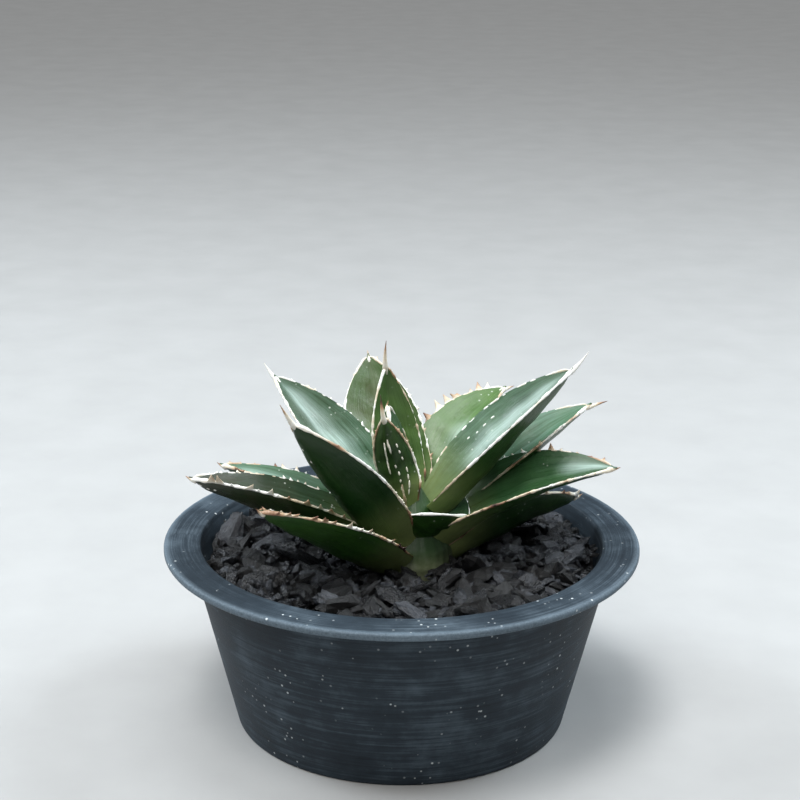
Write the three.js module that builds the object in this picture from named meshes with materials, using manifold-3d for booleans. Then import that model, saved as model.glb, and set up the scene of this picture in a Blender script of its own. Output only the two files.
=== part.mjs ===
// Potted agave: a small rosette of thick guttered leaves in a wide shallow pot, with charcoal chips
// over the potting mix. Millimetres, +Z up, the origin at the middle of the pot's foot.
import * as THREE from 'three';
import { ConvexGeometry } from 'three/addons/geometries/ConvexGeometry.js';
import { mergeVertices } from 'three/addons/utils/BufferGeometryUtils.js';
import Module from 'manifold-3d';

const wasm = await Module();
wasm.setup();

// Driving dimensions of the pot
const POT_HEIGHT = 60;
const RIM_RADIUS = 75.5;
const RIM_WIDTH = 11.5;
const RIM_THICKNESS = 2.4;
const RIM_ROUNDING = 1.1;
const WALL = 3.2;
const FOOT_RADIUS = 53;
const FOOT_WIDTH = 6;
const FOOT_HEIGHT = 3;
const FLOOR = 3;
const DRAIN_HOLE_RADIUS = 9;

// The fill: coarse drainage, potting mix, and the charcoal on top
const DRAINAGE_DEPTH = 9;
const CHIP_BED_DEPTH = 5;
const CHIP_BED_BELOW_RIM = 6;
const CHIP_LENGTH = 12;
const CHIP_RINGS = [
  { radius: 0.55, count: 5, turn: 0.3 },
  { radius: 0.71, count: 8, turn: 0.1 },
  { radius: 0.87, count: 12, turn: 0.2 },
];

// The plant
const CROWN = new THREE.Vector3(4, -9, POT_HEIGHT - 5);
const STEM_RADIUS = 12.2;
const STEM_RISE = 27.5;
const ROOT_DEPTH = 22;
const YOUNG_LEAVES = 5;
const LEAF_THICKNESS = 8;
const LEAF_TIP_THINNING = 0.78;
const MARGIN_THICKNESS = 0.9;
const GUTTER_POWER = 1.5;
const SPINE_RADIUS = 0.8;
const WIDEST_AT = 0.45;
const BASE_SHARE = 0.84;
const ROLL_DONE_AT = 0.4;
const NECK = 0.3;
const NECK_DONE_AT = 0.25;
const PRESS_FROM = 0.15;
const PRESS_TO = 0.7;

// Clearance that keeps neighbouring solids apart
const GAP = 0.35;

// The leaves from the bud outwards. azimuth is the compass direction from +X, turn is how far the leaf
// swings round on its way to the tip, lift is its slope at the base and at the tip (all in degrees),
// gutter is the height of the margin over the midrib as a share of the half width, roll leans the leaf
// about its own length, start is where it leaves the crown (out, up), stout is its share of thickness,
// spine is the length of its end spine, and press is the share by which a neighbour narrows its left and
// its right side near the base.
const LEAVES = [
  { name: 'leaf_bud', azimuth: 215, turn: 0, lift: [64, 80], length: 32, width: 12, gutter: 0.4, roll: 55,
    start: [2, 20], stout: 0.5, spine: 7 },
  { name: 'leaf_bud_sheath', azimuth: 165, turn: 0, lift: [74, 84], length: 35, width: 14, gutter: 0.4,
    roll: 0, start: [2, 17], stout: 0.55, spine: 1 },
  { name: 'leaf_centre', azimuth: 122, turn: 10, lift: [58, 92], length: 47, width: 17, gutter: 0.35,
    roll: -4, start: [4, 16], stout: 0.65, spine: 8 },
  { name: 'leaf_centre_back', azimuth: 115, turn: -12, lift: [50, 48], length: 57, width: 25, gutter: 0.38,
    roll: -14, start: [8, 13], stout: 0.75, spine: 1, press: [0.9, 0] },
  { name: 'leaf_back_right', azimuth: 60, turn: -14, lift: [70, 12], length: 57, width: 24, gutter: 0.42,
    roll: -8, start: [9, 10], stout: 0.7, spine: 4, press: [0, 0.95] },
  { name: 'leaf_upper_right', azimuth: 8, turn: 8, lift: [44, 43], length: 62, width: 25, gutter: 0.5,
    roll: 0, start: [5, 18.5], stout: 0.8, spine: 7 },
  { name: 'leaf_upper_left', azimuth: 154, turn: -5, lift: [46, 41], length: 61, width: 25, gutter: 0.39,
    roll: -5, start: [7, 12], stout: 0.85, spine: 5 },
  { name: 'leaf_front_left', azimuth: 226, turn: -6, lift: [42, 54], length: 64, width: 24, gutter: 0.38,
    roll: 12, start: [7, 10], stout: 0.9, spine: 7 },
  { name: 'leaf_right_behind', azimuth: 27, turn: -3, lift: [42, 24], length: 67, width: 24, gutter: 0.39,
    roll: -3, start: [7, 8], stout: 0.7, spine: 6, press: [0, 0.75] },
  { name: 'leaf_front', azimuth: 330, turn: 8, lift: [30, 6], length: 22, width: 30, gutter: 0.3, roll: -6,
    start: [-2, 12], stout: 1.2, spine: 1, press: [0.3, 0] },
  { name: 'leaf_back', azimuth: 86, turn: 0, lift: [30, 20], length: 52, width: 25, gutter: 0.4, roll: 0,
    start: [6, 5], stout: 0.85, spine: 5 },
  { name: 'leaf_low_right', azimuth: -3, turn: 6, lift: [40, 3], length: 61, width: 27, gutter: 0.36,
    roll: 8, start: [7, 10], stout: 0.75, spine: 1 },
  { name: 'leaf_low_left', azimuth: 192, turn: -8, lift: [26, 18], length: 68, width: 27, gutter: 0.45,
    roll: 6, start: [7, 6], stout: 1, spine: 1 },
  { name: 'leaf_low_left_behind', azimuth: 158, turn: 3, lift: [26, 12], length: 63, width: 24, gutter: 0.4,
    roll: 10, start: [8, 3.5], stout: 0.8, spine: 1, press: [0.6, 0] },
  { name: 'leaf_low_back_left', azimuth: 118, turn: 0, lift: [22, 12], length: 46, width: 24, gutter: 0.4,
    roll: 0, start: [7, 1], stout: 0.9, spine: 5 },
  { name: 'leaf_low_back_right', azimuth: 52, turn: 0, lift: [20, 10], length: 50, width: 24, gutter: 0.4,
    roll: 0, start: [7, 1], stout: 0.9, spine: 5 },
  { name: 'leaf_low_front_left', azimuth: 222, turn: -2, lift: [25, 32], length: 61, width: 27,
    gutter: 0.33, roll: 9, start: [7, 3], stout: 0.85, spine: 1 },
  { name: 'leaf_low_front_right', azimuth: 24, turn: 0, lift: [17, 6], length: 53, width: 24, gutter: 0.39,
    roll: -28, start: [7, 3.5], stout: 0.85, spine: 1 },
];

const material = (color, roughness) => new THREE.MeshStandardMaterial({ color, roughness, metalness: 0 });
const MATERIALS = {
  pot: material(0x55656f, 0.55),
  drainage: material(0x8f877b, 0.95),
  mix: material(0x33291f, 1),
  chip: material(0x2a2b2d, 0.75),
  stem: material(0xa9b07c, 0.6),
  leaf: material(0x456444, 0.4),
  youngLeaf: material(0x6f8f5c, 0.45),
};

const object = new THREE.Group();

function addPiece(name, geometry, pieceMaterial) {
  const mesh = new THREE.Mesh(geometry, pieceMaterial);
  mesh.name = name;
  object.add(mesh);
}

// Turns a closed geometry into a solid that can be cut and joined.
function solidOf(geometry) {
  const bare = geometry.clone();
  bare.deleteAttribute('normal');
  bare.deleteAttribute('uv');
  const merged = mergeVertices(bare, 1e-4);
  return new wasm.Manifold(new wasm.Mesh({
    numProp: 3,
    vertProperties: Float32Array.from(merged.attributes.position.array),
    triVerts: Uint32Array.from(merged.index.array),
  }));
}

// The corners of the largest body among a mesh's triangles: a cut can leave a loose crumb at a thin edge.
function largestBody(positions, corners) {
  const leader = Array.from({ length: positions.length / 3 }, (_, i) => i);
  const find = (i) => {
    let at = i;
    while (leader[at] !== at) {
      leader[at] = leader[leader[at]];
      at = leader[at];
    }
    return at;
  };
  for (let i = 0; i < corners.length; i += 3) {
    leader[find(corners[i + 1])] = find(corners[i]);
    leader[find(corners[i + 2])] = find(corners[i]);
  }
  const volumes = new Map();
  const [a, b, c] = [new THREE.Vector3(), new THREE.Vector3(), new THREE.Vector3()];
  for (let i = 0; i < corners.length; i += 3) {
    a.fromArray(positions, corners[i] * 3);
    b.fromArray(positions, corners[i + 1] * 3);
    c.fromArray(positions, corners[i + 2] * 3);
    const body = find(corners[i]);
    volumes.set(body, (volumes.get(body) ?? 0) + a.dot(b.cross(c)) / 6);
  }
  const [largest] = [...volumes].sort((one, other) => other[1] - one[1])[0];
  return corners.filter((corner) => find(corner) === largest);
}

function geometryOf(solid) {
  const { vertProperties, triVerts } = solid.getMesh();
  const positions = Array.from(vertProperties);
  const geometry = new THREE.BufferGeometry();
  geometry.setAttribute('position', new THREE.Float32BufferAttribute(positions, 3));
  geometry.setIndex(largestBody(positions, Array.from(triVerts)));
  geometry.computeVertexNormals();
  return geometry;
}

// A solid of revolution about +Z from [radius, height] points.
function turned(points, segments) {
  const profile = points.map(([radius, height]) => new THREE.Vector2(radius, height));
  return new THREE.LatheGeometry(profile, segments).rotateX(Math.PI / 2);
}

// ---- The pot: a tapered body, a flat rim with a rounded outer edge, a foot ring and one drain hole

const INNER_FLOOR = FOOT_HEIGHT + FLOOR;
const MOUTH_RADIUS = RIM_RADIUS - RIM_WIDTH;
const INNER_FLOOR_RADIUS = FOOT_RADIUS - WALL;

// Inner radius of the pot at a height.
function innerRadius(height) {
  const share = (height - INNER_FLOOR) / (POT_HEIGHT - INNER_FLOOR);
  return INNER_FLOOR_RADIUS + (MOUTH_RADIUS - INNER_FLOOR_RADIUS) * share;
}

function potGeometry() {
  const points = [
    [0, FOOT_HEIGHT],
    [FOOT_RADIUS - FOOT_WIDTH, FOOT_HEIGHT],
    [FOOT_RADIUS - FOOT_WIDTH, 0],
    [FOOT_RADIUS, 0],
    [MOUTH_RADIUS + WALL, POT_HEIGHT - RIM_THICKNESS],
    [RIM_RADIUS - RIM_ROUNDING, POT_HEIGHT - RIM_THICKNESS],
  ];
  const middle = POT_HEIGHT - RIM_ROUNDING;
  for (let step = 0; step <= 4; step += 1) {
    const angle = (Math.PI / 2) * (step / 4);
    const radius = RIM_RADIUS - RIM_ROUNDING + RIM_ROUNDING * Math.cos(angle);
    points.push([radius, middle + RIM_ROUNDING * Math.sin(angle)]);
  }
  points.push([MOUTH_RADIUS, POT_HEIGHT], [INNER_FLOOR_RADIUS, INNER_FLOOR], [0, INNER_FLOOR]);
  const hole = new THREE.CylinderGeometry(DRAIN_HOLE_RADIUS, DRAIN_HOLE_RADIUS, INNER_FLOOR * 3, 32);
  return geometryOf(solidOf(turned(points, 72)).subtract(solidOf(hole.rotateX(Math.PI / 2))));
}

// ---- The stem: a short stout crown that the leaves clasp, with a pointed heart above and a root stub below

const stemPoints = (extra) => [
  [0, -ROOT_DEPTH - extra],
  [STEM_RADIUS * 0.33 + extra, -ROOT_DEPTH + 2 - extra],
  [STEM_RADIUS * 0.66 + extra, -ROOT_DEPTH * 0.55],
  [STEM_RADIUS * 0.86 + extra, -ROOT_DEPTH * 0.18],
  [STEM_RADIUS + extra, STEM_RISE * 0.07],
  [STEM_RADIUS * 0.97 + extra, STEM_RISE * 0.25],
  [STEM_RADIUS * 0.74 + extra, STEM_RISE * 0.47],
  [STEM_RADIUS * 0.49 + extra, STEM_RISE * 0.65],
  [STEM_RADIUS * 0.3 + extra, STEM_RISE * 0.8],
  [STEM_RADIUS * 0.13 + extra, STEM_RISE * 0.93],
  [0, STEM_RISE + extra],
];
const stemGeometry = (extra) => turned(stemPoints(extra), 28).translate(CROWN.x, CROWN.y, CROWN.z);

// ---- A leaf: closed sections lofted along a curved midrib, ending in a spine

const LEAF_STEPS = 11;
const SECTION_ACROSS = [-1, -0.55, 0, 0.55, 1];

// Half width along the leaf: broad at the clasping base, widest near the middle, pointed at the tip.
function halfWidth(leaf, along) {
  const rising = BASE_SHARE + (1 - BASE_SHARE) * Math.sin((Math.min(along / WIDEST_AT, 1) * Math.PI) / 2);
  const beyond = Math.max((along - WIDEST_AT) / (1 - WIDEST_AT), 0);
  return Math.max((leaf.width / 2) * rising * (1 - beyond ** 2), SPINE_RADIUS);
}

// The share of the full width left at a place: the base is necked in, and a pressed side stays narrow.
function squeeze(leaf, along, across) {
  const { smoothstep } = THREE.MathUtils;
  const neck = 1 - NECK * (1 - smoothstep(along, 0, NECK_DONE_AT));
  const [left, right] = leaf.press ?? [0, 0];
  return neck * (1 - (across > 0 ? left : right) * (1 - smoothstep(along, PRESS_FROM, PRESS_TO)));
}

// The outline of one section as [across, up] pairs: the guttered top from left to right, then the keel back.
function sectionOutline(leaf, along) {
  const half = (across) => Math.max(halfWidth(leaf, along) * squeeze(leaf, along, across), SPINE_RADIUS);
  const middle = Math.max(LEAF_THICKNESS * leaf.stout * (1 - LEAF_TIP_THINNING * along), 2 * SPINE_RADIUS);
  const edge = MARGIN_THICKNESS;
  const top = (across) => leaf.gutter * half(across) * Math.abs(across) ** GUTTER_POWER;
  const bottom = (across) => top(across) - edge - (middle - edge) * (1 - across * across) ** 0.8;
  const upper = SECTION_ACROSS.map((across) => [half(across) * across, top(across)]);
  const lower = SECTION_ACROSS.map((across) => [half(across) * across, bottom(across)]).reverse();
  return [...upper, ...lower];
}

// Moves every point of a closed outline outwards by extra, measured across its edges.
function grownOutline(outline, extra) {
  return outline.map((point, i) => {
    const before = outline[(i + outline.length - 1) % outline.length];
    const after = outline[(i + 1) % outline.length];
    const inward = new THREE.Vector2(point[0] - before[0], point[1] - before[1]).normalize();
    const outward = new THREE.Vector2(after[0] - point[0], after[1] - point[1]).normalize();
    const bisector = inward.clone().add(outward).normalize();
    const stretch = Math.min(1 / Math.max(bisector.dot(outward), 0.5), 2);
    return [point[0] - bisector.y * extra * stretch, point[1] + bisector.x * extra * stretch];
  });
}

function leafGeometry(leaf, extra) {
  const azimuth = THREE.MathUtils.degToRad(leaf.azimuth);
  const out = new THREE.Vector3(Math.cos(azimuth), Math.sin(azimuth), 0);
  const midrib = CROWN.clone().addScaledVector(out, leaf.start[0]);
  midrib.z += leaf.start[1];
  const stride = leaf.length / LEAF_STEPS;
  const positions = [];
  let before = new THREE.Vector3();
  for (let step = 0; step <= LEAF_STEPS; step += 1) {
    const along = step / LEAF_STEPS;
    const slope = THREE.MathUtils.degToRad(leaf.lift[0] + (leaf.lift[1] - leaf.lift[0]) * along);
    const compass = azimuth + THREE.MathUtils.degToRad(leaf.turn * along);
    const heading = new THREE.Vector3(
      Math.cos(slope) * Math.cos(compass), Math.cos(slope) * Math.sin(compass), Math.sin(slope));
    const side = new THREE.Vector3(-Math.sin(compass), Math.cos(compass), 0);
    const roll = THREE.MathUtils.degToRad(leaf.roll) * Math.min(along / ROLL_DONE_AT, 1);
    side.applyAxisAngle(heading, roll);
    const up = new THREE.Vector3().crossVectors(heading, side);
    if (step > 0) {
      midrib.addScaledVector(before, stride / 2).addScaledVector(heading, stride / 2);
    }
    before = heading;
    const middle = midrib.clone();
    if (step === 0) {
      middle.addScaledVector(heading, -extra);
    }
    for (const [across, height] of grownOutline(sectionOutline(leaf, along), extra)) {
      const point = middle.clone().addScaledVector(side, across).addScaledVector(up, height);
      positions.push(point.x, point.y, point.z);
    }
    if (step === 0) {
      positions.unshift(middle.x - up.x, middle.y - up.y, middle.z - up.z);
    }
  }
  const spineTip = midrib.clone().addScaledVector(before, leaf.spine + extra);
  positions.push(spineTip.x, spineTip.y, spineTip.z);
  return loft(positions, SECTION_ACROSS.length * 2);
}

// Joins rings of points into a closed skin; the first and last points are the two end centres.
function loft(positions, ring) {
  const rings = (positions.length / 3 - 2) / ring;
  const last = positions.length / 3 - 1;
  const indices = [];
  for (let row = 0; row < rings; row += 1) {
    for (let i = 0; i < ring; i += 1) {
      const here = 1 + row * ring + i;
      const next = 1 + row * ring + ((i + 1) % ring);
      if (row === 0) {
        indices.push(0, here, next);
      }
      if (row < rings - 1) {
        indices.push(here, here + ring, next, next, here + ring, next + ring);
      } else {
        indices.push(here, last, next);
      }
    }
  }
  const geometry = new THREE.BufferGeometry();
  geometry.setAttribute('position', new THREE.Float32BufferAttribute(positions, 3));
  geometry.setIndex(indices);
  return geometry;
}

// ---- The charcoal: a rough bed filling the pot's mouth, and loose chips half sunk in it

const BED_TOP = POT_HEIGHT - CHIP_BED_BELOW_RIM;
const BED_BOTTOM = BED_TOP - CHIP_BED_DEPTH;
const BED_ROUGHNESS = 0.8;

function bedGeometry() {
  const rings = 9;
  const spokes = 60;
  const positions = [0, 0, BED_BOTTOM];
  const addRing = (radius, height) => {
    for (let i = spokes; i > 0; i -= 1) {
      const angle = (i / spokes) * 2 * Math.PI;
      positions.push(radius * Math.cos(angle), radius * Math.sin(angle), height(angle));
    }
  };
  addRing(innerRadius(BED_BOTTOM) - GAP, () => BED_BOTTOM);
  for (let row = rings; row > 0; row -= 1) {
    const radius = (innerRadius(BED_TOP - BED_ROUGHNESS) - GAP * 2) * (row / rings);
    const ripple = (angle) => Math.sin(7 * angle + row * 2.1) * Math.cos(11 * angle - row * 1.3);
    addRing(radius, (angle) => BED_TOP + BED_ROUGHNESS * ripple(angle));
  }
  positions.push(0, 0, BED_TOP);
  return loft(positions, spokes);
}

// A repeatable number from 0 to 1 for a whole-number seed.
function scatter(seed) {
  const value = Math.sin(seed * 12.9898 + 4.1414) * 43758.5453;
  return value - Math.floor(value);
}

// A broken chip: the convex hull of points spread over a flattened, stretched ball.
function chipGeometry(seed, extra) {
  const length = CHIP_LENGTH * (0.8 + 0.35 * scatter(seed + 0.1));
  const half = new THREE.Vector3(length / 2, length * 0.34, length * 0.25).addScalar(extra);
  const points = [];
  const count = 16;
  for (let i = 0; i < count; i += 1) {
    const height = 1 - (2 * (i + 0.5)) / count;
    const angle = i * Math.PI * (3 - Math.sqrt(5)) + scatter(seed * 31 + i) * 0.7;
    const girth = Math.sqrt(1 - height * height);
    points.push(new THREE.Vector3(girth * Math.cos(angle), girth * Math.sin(angle), height).multiply(half));
  }
  return new ConvexGeometry(points);
}

function chipPlaces() {
  const places = [];
  const bedRadius = innerRadius(BED_TOP) - GAP;
  for (const { radius, count, turn } of CHIP_RINGS) {
    for (let i = 0; i < count; i += 1) {
      const seed = places.length + 1;
      const angle = ((i + turn + 0.3 * scatter(seed)) / count) * 2 * Math.PI;
      const tilt = new THREE.Euler(0.5 * scatter(seed + 50) - 0.25, 0.5 * scatter(seed + 90) - 0.25,
        2 * Math.PI * scatter(seed + 130));
      const place = new THREE.Matrix4().makeRotationFromEuler(tilt);
      place.setPosition(bedRadius * radius * Math.cos(angle), bedRadius * radius * Math.sin(angle),
        BED_TOP + CHIP_LENGTH * 0.1);
      places.push({ seed, place });
    }
  }
  return places;
}

// ---- Assembly, from the inside of the rosette outwards and then down into the pot

let plantRoom = solidOf(stemGeometry(GAP));
addPiece('stem', stemGeometry(0), MATERIALS.stem);
LEAVES.forEach((leaf, i) => {
  const solid = solidOf(leafGeometry(leaf, 0)).subtract(plantRoom);
  addPiece(leaf.name, geometryOf(solid), i < YOUNG_LEAVES ? MATERIALS.youngLeaf : MATERIALS.leaf);
  plantRoom = plantRoom.add(solidOf(leafGeometry(leaf, GAP)));
});

let chipRoom = plantRoom;
for (const { seed, place } of chipPlaces()) {
  const chip = solidOf(chipGeometry(seed, 0).applyMatrix4(place)).subtract(chipRoom);
  addPiece(`chip_${String(seed).padStart(2, '0')}`, geometryOf(chip), MATERIALS.chip);
  chipRoom = chipRoom.add(solidOf(chipGeometry(seed, GAP).applyMatrix4(place)));
}
addPiece('chip_bed', geometryOf(solidOf(bedGeometry()).subtract(chipRoom)), MATERIALS.chip);

// A filling layer of the pot between two heights, clear of the wall and of the plant.
function layerGeometry(bottom, top) {
  const low = innerRadius(bottom) - GAP;
  const high = innerRadius(top) - GAP;
  const layer = turned([[0, bottom], [low, bottom], [high, top], [0, top]], 48);
  return geometryOf(solidOf(layer).subtract(plantRoom));
}
const DRAINAGE_TOP = INNER_FLOOR + DRAINAGE_DEPTH;
addPiece('potting_mix', layerGeometry(DRAINAGE_TOP + GAP, BED_BOTTOM - GAP), MATERIALS.mix);
addPiece('drainage_layer', layerGeometry(INNER_FLOOR + GAP, DRAINAGE_TOP), MATERIALS.drainage);
addPiece('pot', potGeometry(), MATERIALS.pot);

export default object;
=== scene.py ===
# %% [markdown]
# # A potted agave
# A small agave stands in a wide, shallow pot of blue-grey plastic, in potting mix under a layer of broken
# charcoal. The solid model gives every place and size. This file gives the looks: each leaf is grown again as
# a fine surface with its horny margin, teeth and end spine, and the charcoal as some hundreds of splinters.

# %% Load the frame
import bpy
import numpy as np
from mathutils import Matrix, Vector


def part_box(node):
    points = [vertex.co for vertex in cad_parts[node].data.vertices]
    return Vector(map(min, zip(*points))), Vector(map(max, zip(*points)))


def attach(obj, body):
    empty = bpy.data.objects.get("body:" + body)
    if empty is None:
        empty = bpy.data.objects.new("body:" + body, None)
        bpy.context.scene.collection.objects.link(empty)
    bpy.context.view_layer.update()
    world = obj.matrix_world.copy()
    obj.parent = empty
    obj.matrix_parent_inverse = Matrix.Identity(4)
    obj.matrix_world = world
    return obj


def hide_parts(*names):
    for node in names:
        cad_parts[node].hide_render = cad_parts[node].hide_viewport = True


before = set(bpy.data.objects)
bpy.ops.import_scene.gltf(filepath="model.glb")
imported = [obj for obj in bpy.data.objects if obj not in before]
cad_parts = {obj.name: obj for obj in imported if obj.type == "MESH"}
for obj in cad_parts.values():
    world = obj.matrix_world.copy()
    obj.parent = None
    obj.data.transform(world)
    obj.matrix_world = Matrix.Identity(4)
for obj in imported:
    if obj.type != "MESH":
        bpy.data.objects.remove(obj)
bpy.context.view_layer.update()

# %% [markdown]
# ## Places that everything is hung on
# The rim of the pot, the crown of the plant and the charcoal bed are read from the solid model's boxes, so
# nothing has to be fitted afterwards. Lengths below are in metres, and MM turns millimetres into metres.

# %% Places from the frame
MM = 0.001
_, pot_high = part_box("pot")
stem_low, stem_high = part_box("stem")
bed_low, bed_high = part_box("chip_bed")
RIM_TOP = pot_high[2]
RIM_RADIUS = pot_high[0]
BED_RADIUS = bed_high[0]
CROWN_BELOW_RIM = 5 * MM
CROWN = np.array([(stem_low[0] + stem_high[0]) / 2, (stem_low[1] + stem_high[1]) / 2,
                  RIM_TOP - CROWN_BELOW_RIM])
print("rim at", round(RIM_TOP, 4), "radius", round(RIM_RADIUS, 4), "crown at", CROWN.round(4))

# %% [markdown]
# ## From arrays to a mesh
# Every piece here is a grid of points worked out with numpy. A leaf, a spine or a splinter is a closed skin:
# its columns run round it, and each end is closed by one pole. A pot wall is a ring, whose rows close too.

# %% Closed skins from grids
def closed_grids(points, ring=False):
    """Corners and faces of grids shaped (pieces, rows, columns, 3). Column j joins column j + 1 and the last
    joins the first. The end rows are closed by a pole at their mean, or to each other when ring is true."""
    pieces, rows, columns, _ = points.shape
    corners = points.reshape(pieces, rows * columns, 3)
    row, column = np.meshgrid(np.arange(rows if ring else rows - 1), np.arange(columns), indexing="ij")
    after = (column + 1) % columns
    below = (row + 1) % rows
    quads = np.stack([row * columns + column, row * columns + after, below * columns + after,
                      below * columns + column], -1).reshape(-1, 4)
    triangles = np.zeros((0, 3), int)
    if not ring:
        corners = np.concatenate([corners, points[:, 0].mean(1)[:, None], points[:, -1].mean(1)[:, None]], 1)
        at = np.arange(columns)
        to = (at + 1) % columns
        first = np.stack([np.full(columns, rows * columns), to, at], -1)
        last = np.stack([np.full(columns, rows * columns + 1), (rows - 1) * columns + at,
                         (rows - 1) * columns + to], -1)
        triangles = np.concatenate([first, last])
    offset = (np.arange(pieces) * corners.shape[1])[:, None, None]
    return corners.reshape(-1, 3), (quads + offset).reshape(-1, 4), (triangles + offset).reshape(-1, 3)


def spread_fact(values, points, ring):
    """A fact on the same grid, with its mean at the poles, as one number for each corner."""
    pieces = points.shape[0]
    values = np.broadcast_to(values, points.shape[:3]).reshape(points.shape[:3])
    flat = values.reshape(pieces, -1)
    if not ring:
        flat = np.concatenate([flat, values[:, 0].mean(1)[:, None], values[:, -1].mean(1)[:, None]], 1)
    return flat.reshape(-1)


def faces_outward(corners, quads, triangles):
    """Turns every face round when the skin's signed volume, a sum of corner triple products, is negative."""
    fans = np.concatenate([quads[:, [0, 1, 2]], quads[:, [0, 2, 3]], triangles])
    a, b, c = (corners[fans[:, k]] for k in range(3))
    if np.einsum("ij,ij->i", a, np.cross(b, c)).sum() < 0:
        quads, triangles = quads[:, ::-1], triangles[:, ::-1]
    return quads, triangles


# %% One object from several skins
def make_piece(name, parts, materials, stands_for=(), smooth=True):
    """Joins skins into one object. A part is a dict with points, material number, facts and ring."""
    corners, quads, triangles, quad_finish, triangle_finish = [], [], [], [], []
    fact_names = sorted({key for part in parts for key in part.get("facts", {})})
    facts = {key: [] for key in fact_names}
    count = 0
    for part in parts:
        ring = part.get("ring", False)
        skin, four, three = closed_grids(part["points"], ring)
        four, three = faces_outward(skin, four, three)
        corners.append(skin)
        quads.append(four + count)
        triangles.append(three + count)
        quad_finish.append(np.full(len(four), part.get("material", 0)))
        triangle_finish.append(np.full(len(three), part.get("material", 0)))
        for key in fact_names:
            facts[key].append(spread_fact(part.get("facts", {}).get(key, 0.0), part["points"], ring))
        count += len(skin)
    corners, quads, triangles = (np.concatenate(group) for group in (corners, quads, triangles))
    mesh = bpy.data.meshes.new(name)
    mesh.vertices.add(len(corners))
    mesh.vertices.foreach_set("co", corners.astype(np.float32).ravel())
    loops = np.concatenate([quads.ravel(), triangles.ravel()])
    mesh.loops.add(len(loops))
    mesh.loops.foreach_set("vertex_index", loops.astype(np.int32))
    starts = np.concatenate([np.arange(len(quads)) * 4, len(quads) * 4 + np.arange(len(triangles)) * 3])
    mesh.polygons.add(len(starts))
    mesh.polygons.foreach_set("loop_start", starts.astype(np.int32))
    finish = np.concatenate(quad_finish + triangle_finish)
    mesh.polygons.foreach_set("material_index", finish.astype(np.int32))
    mesh.polygons.foreach_set("use_smooth", np.full(len(starts), smooth))
    mesh.update(calc_edges=True)
    for key in fact_names:
        layer = mesh.attributes.new(key, "FLOAT", "POINT")
        layer.data.foreach_set("value", np.concatenate(facts[key]).astype(np.float32))
    for material in materials:
        mesh.materials.append(material)
    piece = bpy.data.objects.new(name, mesh)
    bpy.context.scene.collection.objects.link(piece)
    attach(piece, "root")
    if stands_for:
        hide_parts(*stands_for)
    print(name, len(mesh.polygons), "faces")
    return piece


# %% [markdown]
# ## Finishes
# A finish is a small tree of shader nodes. Patterns come from noise on the piece's own coordinates, or from
# facts stored on its points, such as how far along the leaf a point is. Numbers that are the same all over
# are set on the shader itself.

# %% A helper for shader trees
class Finish:
    """A material with one Principled shader; add() makes a node and wires its inputs by name or number."""

    def __init__(self, name, **sockets):
        self.material = bpy.data.materials.new(name)
        self.material.use_nodes = True
        self.tree = self.material.node_tree
        self.shader = self.tree.nodes["Principled BSDF"]
        for socket, value in sockets.items():
            self.shader.inputs[socket.replace("_", " ")].default_value = value

    def add(self, kind, wires=(), **options):
        node = self.tree.nodes.new("ShaderNode" + kind)
        for key, value in options.items():
            setattr(node, key, value)
        for socket, value in dict(wires).items():
            self.wire(node.inputs[socket], value)
        return node

    def wire(self, socket, value):
        if isinstance(value, bpy.types.NodeSocket):
            self.tree.links.new(value, socket)
        else:
            socket.default_value = value

    def fact(self, name):
        return self.add("Attribute", attribute_name=name).outputs["Fac"]

    def here(self):
        return self.add("TexCoord").outputs["Object"]

    def math(self, operation, first, second=0.0, clamp=False):
        node = self.add("Math", {0: first, 1: second}, operation=operation, use_clamp=clamp)
        return node.outputs[0]

    def noise(self, vector, scale, detail=3.0, roughness=0.55, distortion=0.0):
        wires = {"Vector": vector, "Scale": scale, "Detail": detail, "Roughness": roughness,
                 "Distortion": distortion}
        return self.add("TexNoise", wires).outputs["Fac"]

    def vector(self, x, y, z=0.0):
        return self.add("CombineXYZ", {"X": x, "Y": y, "Z": z}).outputs[0]

    def ramp(self, value, stops):
        """Colours at places from 0 to 1, blended between."""
        node = self.add("ValToRGB", {"Fac": value})
        elements = node.color_ramp.elements
        elements[0].position, elements[-1].position = stops[0][0], stops[-1][0]
        elements[0].color, elements[-1].color = (*stops[0][1], 1), (*stops[-1][1], 1)
        for place, colour in stops[1:-1]:
            elements.new(place).color = (*colour, 1)
        return node.outputs["Color"]

    def spread(self, value, low, high, to_low=0.0, to_high=1.0):
        """Maps low..high to to_low..to_high, held at both ends."""
        wires = {"Value": value, "From Min": low, "From Max": high, "To Min": to_low, "To Max": to_high}
        return self.add("MapRange", wires, clamp=True).outputs["Result"]

    def blend(self, share, first, second, mode="MIX"):
        node = self.add("Mix", data_type="RGBA", blend_type=mode, clamp_factor=True)
        factor, a, b = node.inputs[0], node.inputs[6], node.inputs[7]
        for socket, value in ((factor, share), (a, first), (b, second)):
            self.wire(socket, (*value, 1) if isinstance(value, tuple) and len(value) == 3 else value)
        return node.outputs[2]

    def bump(self, height, strength, distance, under=None):
        wires = {"Height": height, "Strength": strength, "Distance": distance}
        if under is not None:
            wires["Normal"] = under
        return self.add("Bump", wires).outputs["Normal"]

    def finish(self, colour=None, roughness=None, normal=None):
        for socket, value in (("Base Color", colour), ("Roughness", roughness), ("Normal", normal)):
            if value is not None:
                self.wire(self.shader.inputs[socket], value)
        return self.material


# %% [markdown]
# ## How a leaf grows
# An agave leaf is a thick, guttered blade that clasps the crown, is widest near its middle and ends in a hard
# spine. Its midrib is a curve whose slope and compass direction change evenly from base to tip. The upper
# face is a shallow gutter, and the lower face a rounded keel. The same numbers grew the solid leaves, so
# each fine leaf fills the space of its solid.

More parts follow.
